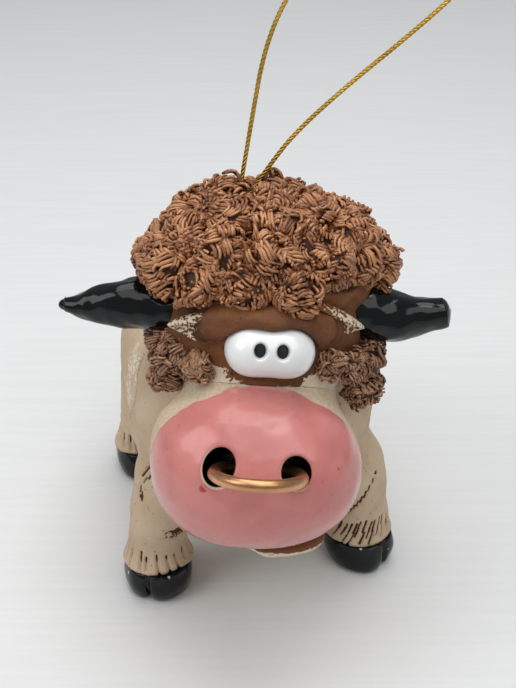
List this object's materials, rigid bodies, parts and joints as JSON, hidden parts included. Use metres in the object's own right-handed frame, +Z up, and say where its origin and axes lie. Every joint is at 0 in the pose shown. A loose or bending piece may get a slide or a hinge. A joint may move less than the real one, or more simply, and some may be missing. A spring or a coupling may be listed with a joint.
{
  "type": "hanging cow ornament",
  "caption": "Hand-built clay highland cow that stands on its hooves, with curly hair, horns, a swinging wire nose ring and a hanging cord.",
  "frame": {"origin": "on the floor under the middle of the outline, without the cord", "axes": "+Z up, the animal looks along -Y, its left side is +X"},
  "size_m": [0.0882, 0.1114, 0.1503],
  "materials": {
    "beige_slip": "matte beige slip over brown clay",
    "black_glaze": "glossy black glaze",
    "pink_glaze": "glossy pink glaze with a bare cream rim",
    "brown_stain": "matte brown stain with rubbed edges",
    "clay_curls": "sieve-pressed clay noodles, brown stain rubbed back",
    "white_glaze": "glossy white glaze",
    "copper_wire": "satin copper-gold wire",
    "steel_wire": "kiln wire, dull",
    "gold_cord": "twisted metallic gold cord"
  },
  "bodies": {
    "cow": {"body_shell": "beige_slip", "skull": "brown_stain", "muzzle": "pink_glaze", "lower_lip": "beige_slip", "eye_pad": "white_glaze", "pupils": "black_glaze", "brow": "brown_stain", "right_ear": "brown_stain", "left_ear": "brown_stain", "right_horn": "black_glaze", "left_horn": "black_glaze", "hair_pad": "clay_curls", "hair_crown": "clay_curls", "hair_fringe": "clay_curls", "hair_right": "clay_curls", "hair_left": "clay_curls", "hair_nape": "clay_curls", "right_cheek_tuft": "clay_curls", "left_cheek_tuft": "clay_curls", "tail": "beige_slip", "tail_tuft": "clay_curls", "hanger_staple": "steel_wire", "cord_knot": "gold_cord", "hanging_cord": "gold_cord", "front_right_leg": "beige_slip", "front_right_hoof": "black_glaze", "front_left_leg": "beige_slip", "front_left_hoof": "black_glaze", "rear_right_leg": "beige_slip", "rear_right_hoof": "black_glaze", "rear_left_leg": "beige_slip", "rear_left_hoof": "black_glaze"},
    "ring": {"nose_ring": "copper_wire"}
  },
  "joints": [
    {"name": "ring_swing", "type": "hinge", "parent": "cow", "child": "ring", "pos_m": [-0.00626, -0.04304, 0.05541], "axis": [-0.9811, 0.173, 0.0872], "range_deg": [-8, 17]}
  ]
}
